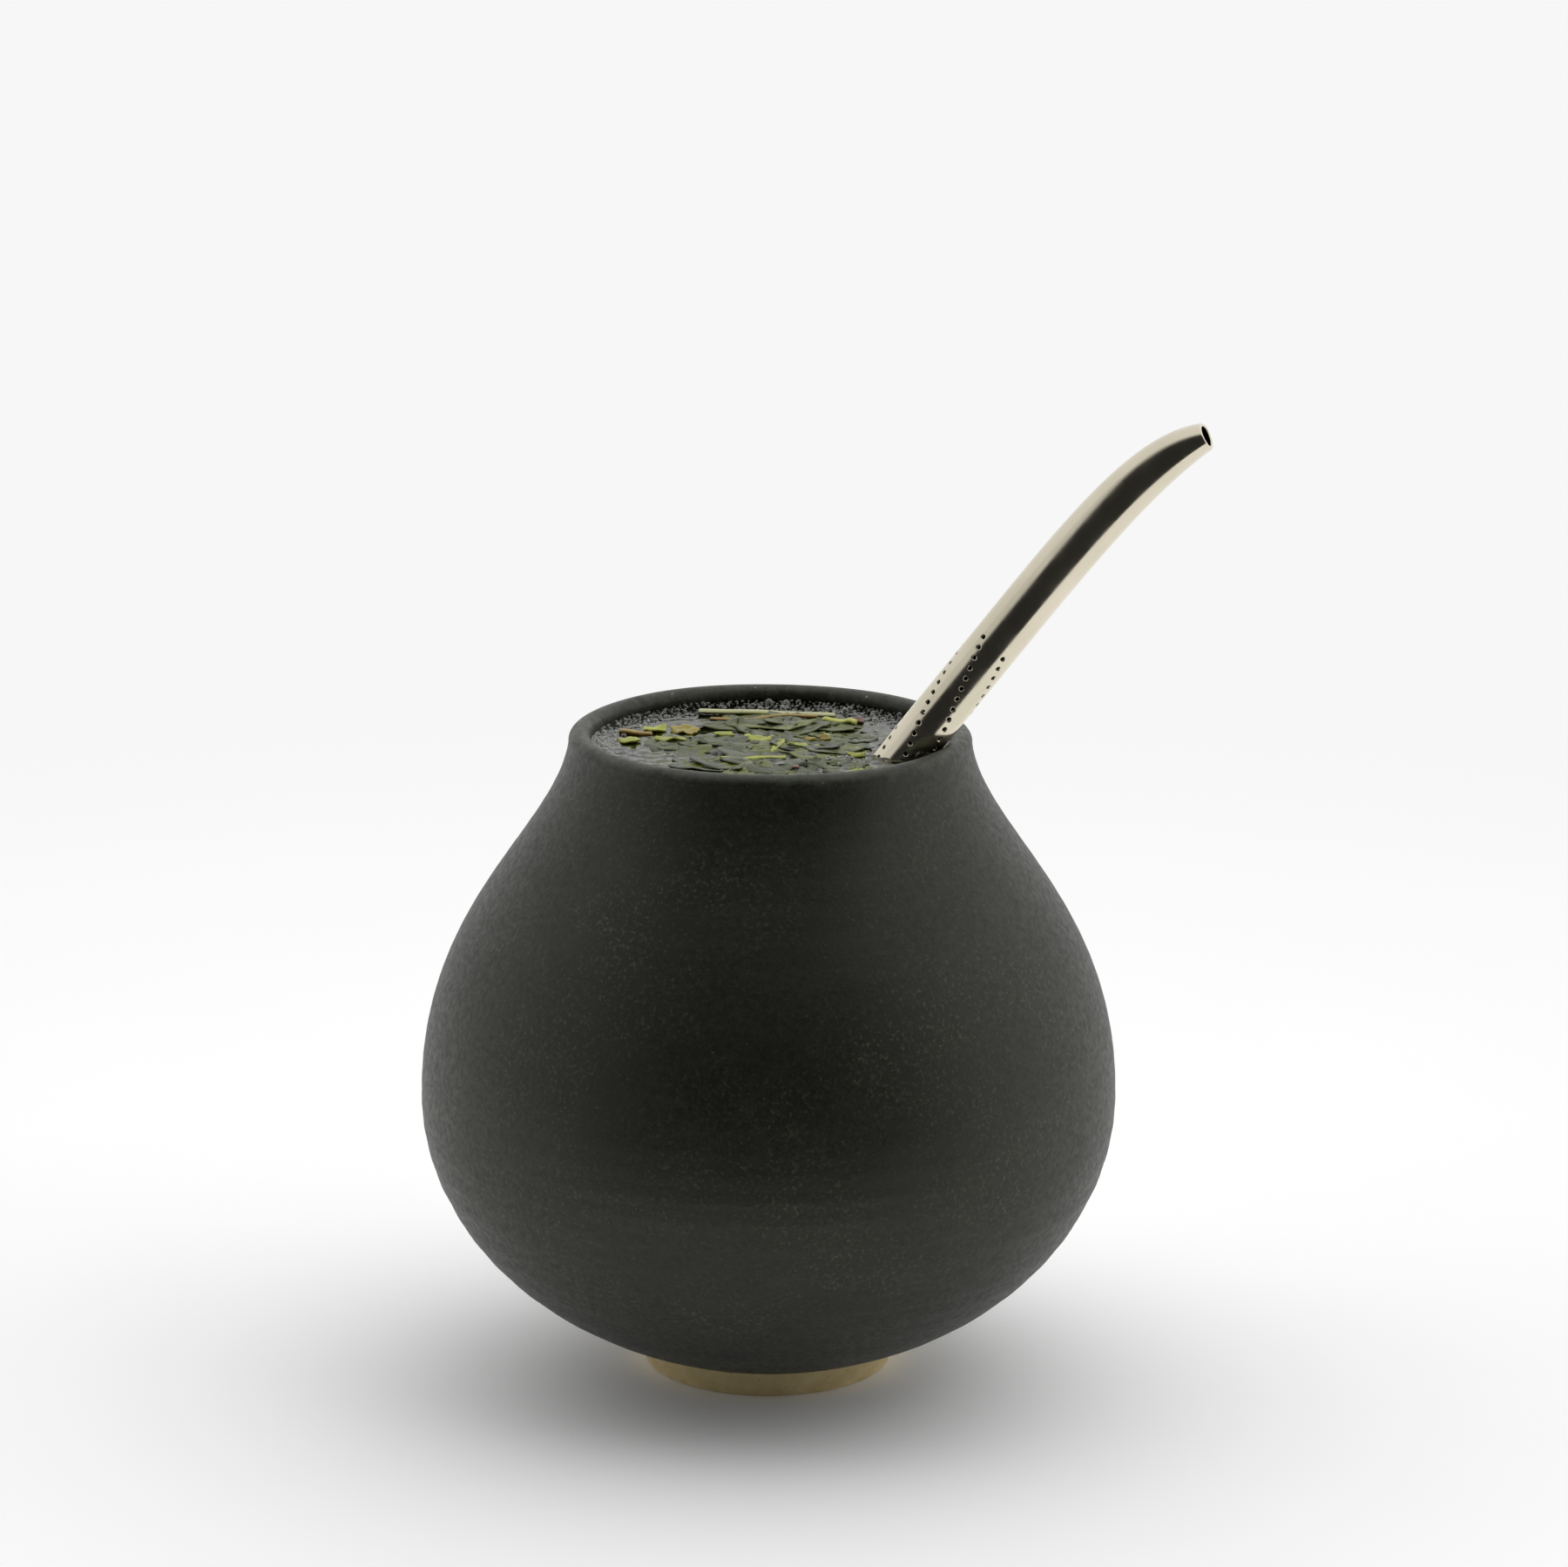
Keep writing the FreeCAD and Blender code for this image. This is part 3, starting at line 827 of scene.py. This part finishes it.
def build_bed(material):
    """The dark wet mass under the loose leaves."""
    waves = Ripples(3, 5.0)
    small = Ripples(4, 1.6)

    def ground(x, y):
        shore = np.clip((MOUTH_R - np.hypot(x, y)) / 3.5, 0, 1)
        return LEVEL - 2.4 + 1.75 * shore + 0.2 * waves(x, y) + 0.1 * small(x, y)

    rings, segments = 46, 160
    verts, faces = [], []
    turn = np.arange(segments) * TAU / segments
    reach = MOUTH_R - 0.5
    for k in range(1, rings + 1):
        r = reach * k / rings
        x, y = r * np.cos(turn), r * np.sin(turn)
        verts.append(np.c_[x, y, ground(x, y)])
    for k in range(rings - 1):
        faces += ring_faces(k * segments, (k + 1) * segments, segments)
    depth = 2.6
    verts.append(np.c_[reach * np.cos(turn), reach * np.sin(turn), np.full(segments, LEVEL - 1 - depth)])
    faces += ring_faces((rings - 1) * segments, rings * segments, segments)
    verts = np.vstack(verts + [[[0, 0, float(ground(0.0, 0.0))], [0, 0, LEVEL - 1 - depth]]])
    top, under = len(verts) - 2, len(verts) - 1
    for i in range(segments):
        j = (i + 1) % segments
        faces.append((top, i, j))
        faces.append((under, rings * segments + j, rings * segments + i))
    faces = [face[::-1] for face in faces]
    piece = make_piece("leaf_core", verts, faces, material, "wet_leaves", ["leaf_bed"])
    set_attribute(piece, "shade", np.zeros(len(verts)))
    return ground


ACCENTS = (
    # kind, x, y, length, width, direction in degrees
    ("amber", -11.6, 6.2, 4.0, 3.6, -35.0),
    ("lime", -19.0, 0.2, 3.0, 3.0, 20.0),
    ("lime", -13.5, 1.0, 5.0, 2.6, -20.0),
    ("amber", 1.3, 7.4, 1.2, 6.0, -25.0),
    ("lime", 11.6, -7.0, 2.4, 2.2, 10.0),
    ("lime", -15.6, 6.6, 3.6, 2.6, 8.0),
    ("lime", -6.2, 4.2, 3.0, 2.0, 30.0),
    ("amber", 6.5, 1.4, 4.2, 1.8, 12.0),
    ("lime", 1.0, -2.4, 1.4, 6.4, -12.0),
    ("rose", 2.8, -13.3, 2.6, 4.4, 15.0),
    ("rose", 11.9, 12.0, 2.0, 2.6, 0.0),
)


def build_leaves():
    grey = leaf_material("leaf_grey", srgb(26, 32, 16), srgb(90, 98, 60), srgb(132, 136, 78))
    olive = leaf_material("leaf_olive", srgb(52, 60, 18), srgb(112, 118, 44), srgb(164, 164, 76))
    lime = leaf_material("leaf_lime", srgb(112, 120, 30), srgb(180, 186, 70), srgb(212, 210, 120))
    core = leaf_material("leaf_core", srgb(14, 17, 7), srgb(40, 44, 20), srgb(66, 66, 32))
    ground = build_bed(core)
    pile = Pile(ground)
    amber = leaf_material("leaf_amber", srgb(96, 84, 26), srgb(160, 146, 60), srgb(178, 112, 44))
    rose = leaf_material("leaf_rose", srgb(92, 66, 60), srgb(136, 98, 92), srgb(150, 120, 104))
    heaps = {"grey": Heap(), "olive": Heap(), "lime": Heap(), "amber": Heap(), "rose": Heap()}
    plain = (("grey", 0.55), ("olive", 0.38), ("lime", 0.07))
    drop_leaves(pile, heaps, 11, 120, (3.0, 8.0), plain, 0.35)
    drop_leaves(pile, heaps, 12, 130, (4.0, 11.0), plain, 0.35)
    drop_leaves(pile, heaps, 13, 80, (8.0, 15.0), (("grey", 0.7), ("olive", 0.3)), 0.26)
    drop_leaves(pile, heaps, 14, 40, (1.2, 4.5), (("grey", 0.3), ("olive", 0.5), ("lime", 0.2)), 0.3)
    rng = np.random.default_rng(15)
    for kind, x, y, length, width, turn in ACCENTS:
        verts, faces = leaf(rng, length, width, 0.35)
        verts = turned(verts, math.radians(turn))
        verts[:, 0] += x
        verts[:, 1] += y
        verts = pile.settle(verts)
        verts[:, 2] += max(0.0, LEVEL + 0.3 - verts[:, 2].mean())
        pile.stack(verts)
        heaps[kind].add(verts, faces, rng.uniform(0.3, 0.9))
    heaps["amber"].piece("leaves_amber", amber, "wet_leaves")
    heaps["rose"].piece("leaves_rose", rose, "wet_leaves")
    heaps["grey"].piece("leaves_grey", grey, "wet_leaves")
    heaps["olive"].piece("leaves_olive", olive, "wet_leaves")
    heaps["lime"].piece("leaves_lime", lime, "wet_leaves")
    return pile


STICKS = {
    # node: x, y, direction in degrees, length, diameter, bow, flatness
    "stick_long": (-0.6, 15.9, -2.0, 19.0, 1.5, 0.4, 0.55),
    "stick_brown": (-1.0, 13.6, 1.0, 15.0, 1.3, -0.3, 0.5),
    "stick_lime": (9.4, 11.6, -24.0, 5.4, 1.5, 0.2, 0.6),
    "stick_front": (-2.4, -10.0, 12.0, 9.5, 1.1, 0.7, 0.7),
    "stick_left": (-18.3, 4.4, -6.0, 4.8, 1.7, 0.0, 0.5),
}


def build_sticks(pile):
    pale = stick_material("stick_pale", srgb(198, 196, 160), srgb(168, 172, 104), srgb(132, 142, 54))
    brown = stick_material("stick_brown", srgb(158, 138, 66), srgb(138, 98, 46), srgb(98, 68, 30))
    lime = stick_material("stick_lime", srgb(190, 194, 92), srgb(160, 168, 62), srgb(128, 126, 52))
    finish = {"stick_long": pale, "stick_lime": lime, "stick_front": lime}
    finish.update(stick_brown=brown, stick_left=brown)
    for seed, (node, (x, y, turn, length, diameter, bow, flat)) in enumerate(STICKS.items()):
        verts, faces = stick(length - 0.3, 0.8 * diameter, bow, flat, 40 + seed)
        verts = turned(verts, math.radians(turn))
        verts[:, 0] += x
        verts[:, 1] += y
        verts = pile.settle(verts, ease=0.5)
        verts[:, 2] += LEVEL + 0.32 - verts[:, 2].mean()
        pile.stack(verts)
        make_piece(node + "_piece", verts, faces, finish[node], "sticks", [node])


# ---------------------------------------------------------------- tea
def build_tea(material, pile):
    """The tea up to its level: a film that clings to the leaves, and a body that fills the cup."""
    from_pile = pile.height.copy()
    for _ in range(2):
        padded = np.pad(from_pile, 1, mode="edge")
        from_pile = sum(padded[a:a + pile.n, b:b + pile.n] for a in range(3) for b in range(3)) / 9
    ripple = Ripples(8, 2.6)
    fine = Ripples(9, 1.1)
    rings, segments = 130, 400
    turn = np.arange(segments) * TAU / segments
    reach = MOUTH_R + 0.15
    verts, faces = [], []
    for k in range(1, rings + 1):
        r = reach * (k / rings) ** 0.85
        x, y = r * np.cos(turn), r * np.sin(turn)
        i, j = pile.index(x, y)
        lively = 0.35 + 0.65 * np.clip((4.0 - y) / 12.0, 0, 1)
        calm = LEVEL + 0.10 + lively * (0.035 * ripple(x, y) + 0.010 * fine(x, y))
        wall = 0.30 * np.exp(-(MOUTH_R - r) / 0.7) if r < MOUTH_R else 0.30
        along = (x - TEA_POINT[0]) * math.sin(LEAN)
        straw = 0.35 * np.exp(-np.abs(np.hypot(along, y - TEA_POINT[1]) - TUBE_R) / 0.6)
        drowned = np.clip((-y - 3.0) / 8.0, 0, 1)
        cling = from_pile[i, j] - 0.12 + 0.22 * drowned
        z = np.maximum(calm + wall + straw, np.minimum(cling, LEVEL + 0.1 + 0.4 * drowned))
        verts.append(np.c_[x, y, z])
    for k in range(rings - 1):
        faces += ring_faces(k * segments, (k + 1) * segments, segments)
    outline = cavity_profile(26)[::-1]
    outline = outline[outline[:, 1] < LEVEL - 0.8]
    layers = rings
    for r, z in outline:
        verts.append(np.c_[(r + 0.08) * np.cos(turn), (r + 0.08) * np.sin(turn), np.full(segments, z - 0.05)])
        faces += ring_faces((layers - 1) * segments, layers * segments, segments)
        layers += 1
    middle = verts[0][:, 2].mean()
    verts = np.vstack(verts + [[[0, 0, middle], [0, 0, outline[-1, 1] - 0.05]]])
    top, under = layers * segments, layers * segments + 1
    last = (layers - 1) * segments
    for i in range(segments):
        j = (i + 1) % segments
        faces.append((top, i, j))
        faces.append((under, last + j, last + i))
    faces = [face[::-1] for face in faces]
    make_piece("tea_body", verts, faces, material, "tea", ["tea"])


# ---------------------------------------------------------------- bubbles
def ball(radius, around, layers, low):
    """A ball's points and faces, cut flat at the share low of its radius below its middle."""
    verts, faces = [], []
    lifts = np.linspace(math.asin(-low), math.pi / 2, layers + 1)[:-1]
    turn = np.arange(around) * TAU / around
    for lift in lifts:
        r = radius * math.cos(lift)
        verts.append(np.c_[r * np.cos(turn), r * np.sin(turn), np.full(around, radius * math.sin(lift))])
    for k in range(len(lifts) - 1):
        faces += ring_faces(k * around, (k + 1) * around, around)
    verts = np.vstack(verts + [[[0, 0, radius]]])
    last = (len(lifts) - 1) * around
    faces += [(last + i, last + (i + 1) % around, len(verts) - 1) for i in range(around)]
    return verts, faces


def bubble(radius, wall):
    """A thin-walled dome: an outer and an inner skin joined at the foot."""
    around, layers = 10, 4
    outer, faces = ball(radius, around, layers, 0.45)
    inner, inner_faces = ball(radius - wall, around, layers, 0.45)
    shift = len(outer)
    faces = faces + [tuple(i + shift for i in f)[::-1] for f in inner_faces]
    faces += [f[::-1] for f in ring_faces(0, shift, around)]
    return np.vstack([outer, inner]), faces


def scatter_bubbles(heap, rng, spots, sizes, surface, gap):
    """Bubbles at random spots, none in another."""
    placed = []
    for x, y in spots:
        radius = rng.uniform(*sizes) if rng.uniform() < 0.85 else rng.uniform(sizes[1], 1.6 * sizes[1])
        if not inside_wall(np.array([x]), np.array([y]), 0.6 * radius)[0]:
            continue
        if any(math.hypot(x - a, y - b) < gap * (radius + c) for a, b, c in placed):
            continue
        placed.append((x, y, radius))
        verts, faces = bubble(radius, 0.07 * radius)
        verts = verts + np.array([x, y, surface(x, y) + 0.25 * radius])
        heap.add(verts, faces, rng.uniform())


def build_bubbles(material, pile):
    def surface(x, y):
        i, j = pile.index(np.array([x]), np.array([y]))
        near_wall = 0.2 * math.exp(-(MOUTH_R - math.hypot(x, y)) / 0.8)
        return max(LEVEL - 0.1 + near_wall, min(pile.height[i, j][0], LEVEL + 0.3))

    rng = np.random.default_rng(21)
    wall_bubbles = Heap()

    def open_water(count):
        """Spots between the raft of leaves and the wall, closer together near the wall."""
        out = []
        while len(out) < count:
            r = MOUTH_R - 0.2 - 9.0 * rng.uniform() ** 1.5
            turn = rng.uniform(0, TAU)
            x, y = r * math.cos(turn), r * math.sin(turn)
            if not in_raft(x, y, 0.6 * rng.uniform() ** 2):
                out.append((x, y))
        return out

    scatter_bubbles(wall_bubbles, rng, [(-0.3, 22.9), (2.1, 22.4), (10.2, 18.6)], (0.5, 0.75), surface, 0.9)
    scatter_bubbles(wall_bubbles, rng, open_water(2600), (0.16, 0.34), surface, 0.95)
    wall_bubbles.piece("bubbles_wall", material, "tea")
    foam = Heap()
    spots = [(7.9 + 3.0 * rng.normal(), -9.4 + 1.1 * rng.normal()) for _ in range(320)]
    scatter_bubbles(foam, rng, spots, (0.10, 0.22), surface, 0.85)
    ring = []
    for _ in range(260):
        turn = rng.uniform(0, TAU)
        out = TUBE_R + rng.uniform(0.2, 1.0)
        along = out * math.cos(turn) / math.sin(LEAN)
        ring.append((TEA_POINT[0] + along, TEA_POINT[1] + out * math.sin(turn)))
    scatter_bubbles(foam, rng, ring, (0.12, 0.3), surface, 0.9)
    foam.piece("bubbles_foam", material, "tea")


# ---------------------------------------------------------------- studio
def build_studio():
    floor_mesh = bpy.data.meshes.new("floor")
    reach = FLOOR_REACH
    corners = [(-reach, FLOOR_FRONT, 0), (reach, FLOOR_FRONT, 0), (reach, reach, 0), (-reach, reach, 0)]
    floor_mesh.from_pydata(corners, [], [(0, 1, 2, 3)])
    floor = bpy.data.objects.new("floor", floor_mesh)
    bpy.context.scene.collection.objects.link(floor)
    s = Shader("floor", Roughness=0.9, Specular_IOR_Level=0.1)
    grain = s.noise(40.0, 2.0)
    s.link(s.ramp(grain, (0.3, 0.955), (0.7, 0.965)), "Base Color")
    # far from the cup the floor turns into the plain white of the backdrop
    tree = s.tree
    distance = s.node("ShaderNodeVectorMath", {0: s.coords}, operation="LENGTH").outputs["Value"]
    far = s.span(distance, PLAIN_FROM, PLAIN_FULL)
    white = s.node("ShaderNodeEmission", {"Color": (WHITE, WHITE, WHITE, 1), "Strength": 1.0})
    mix = s.node("ShaderNodeMixShader")
    tree.links.new(far, mix.inputs[0])
    tree.links.new(s.bsdf.outputs[0], mix.inputs[1])
    tree.links.new(white.outputs[0], mix.inputs[2])
    tree.links.new(mix.outputs[0], tree.nodes["Material Output"].inputs["Surface"])
    floor_mesh.materials.append(s.material)

    world = bpy.data.worlds.new("studio")
    bpy.context.scene.world = world
    world.use_nodes = True
    nodes, links = world.node_tree.nodes, world.node_tree.links
    background = nodes["Background"]
    coords = nodes.new("ShaderNodeTexCoord")
    split = nodes.new("ShaderNodeSeparateXYZ")
    links.new(coords.outputs["Generated"], split.inputs[0])

    def step(value, low, high):
        node = nodes.new("ShaderNodeMapRange")
        node.interpolation_type = "SMOOTHSTEP"
        links.new(value, node.inputs["Value"])
        node.inputs["From Min"].default_value = low
        node.inputs["From Max"].default_value = high
        return node.outputs["Result"]

    def combine(kind, first, second, third=0.0):
        node = nodes.new("ShaderNodeMath")
        node.operation = kind
        for i, value in enumerate((first, second, third)):
            if isinstance(value, bpy.types.NodeSocket):
                links.new(value, node.inputs[i])
            else:
                node.inputs[i].default_value = value
        return node.outputs[0]

    east, north, up = split.outputs
    sides = step(combine("MULTIPLY_ADD", east, 0.2, north), -0.55, -0.10)
    left = combine("MULTIPLY", step(east, -0.70, -0.78), step(up, 0.0, 0.12))
    lit = combine("MAXIMUM", sides, combine("MULTIPLY", left, 0.85))
    lit = combine("MULTIPLY_ADD", lit, 0.97, 0.03)
    lit = combine("MULTIPLY", lit, combine("MULTIPLY_ADD", east, 0.15, 1.0))
    # the camera sees plain white, and metal and glass show that white wherever the room is lit
    path = nodes.new("ShaderNodeLightPath").outputs
    camera = path["Is Camera Ray"]
    shown = combine("MAXIMUM", camera, combine("MAXIMUM", path["Is Glossy Ray"], path["Is Transmission Ray"]))
    links.new(combine("MULTIPLY_ADD", camera, combine("SUBTRACT", 1.0, lit), lit), background.inputs["Color"])
    level = combine("MULTIPLY_ADD", shown, WHITE - LAMPS, LAMPS)
    links.new(level, background.inputs["Strength"])


def build_camera():
    data = bpy.data.cameras.new("camera")
    data.sensor_width = SENSOR
    data.lens = LENS
    camera = bpy.data.objects.new("camera", data)
    bpy.context.scene.collection.objects.link(camera)
    turn = Matrix.Rotation(math.pi / 2 - math.radians(CAMERA_PITCH), 4, "X")
    turn = turn @ Matrix.Rotation(CAMERA_ROLL, 4, "Z")
    camera.matrix_world = Matrix.Translation(Vector(CAMERA_AT) * MM) @ turn
    bpy.context.scene.camera = camera


build_camera()
build_studio()
build_cup(stoneware())
build_straw(straw_metal())
leaf_pile = build_leaves()
build_sticks(leaf_pile)
build_tea(tea_liquid(), leaf_pile)
build_bubbles(bubble_film(), leaf_pile)

bpy.context.scene.view_settings.view_transform = "Standard"
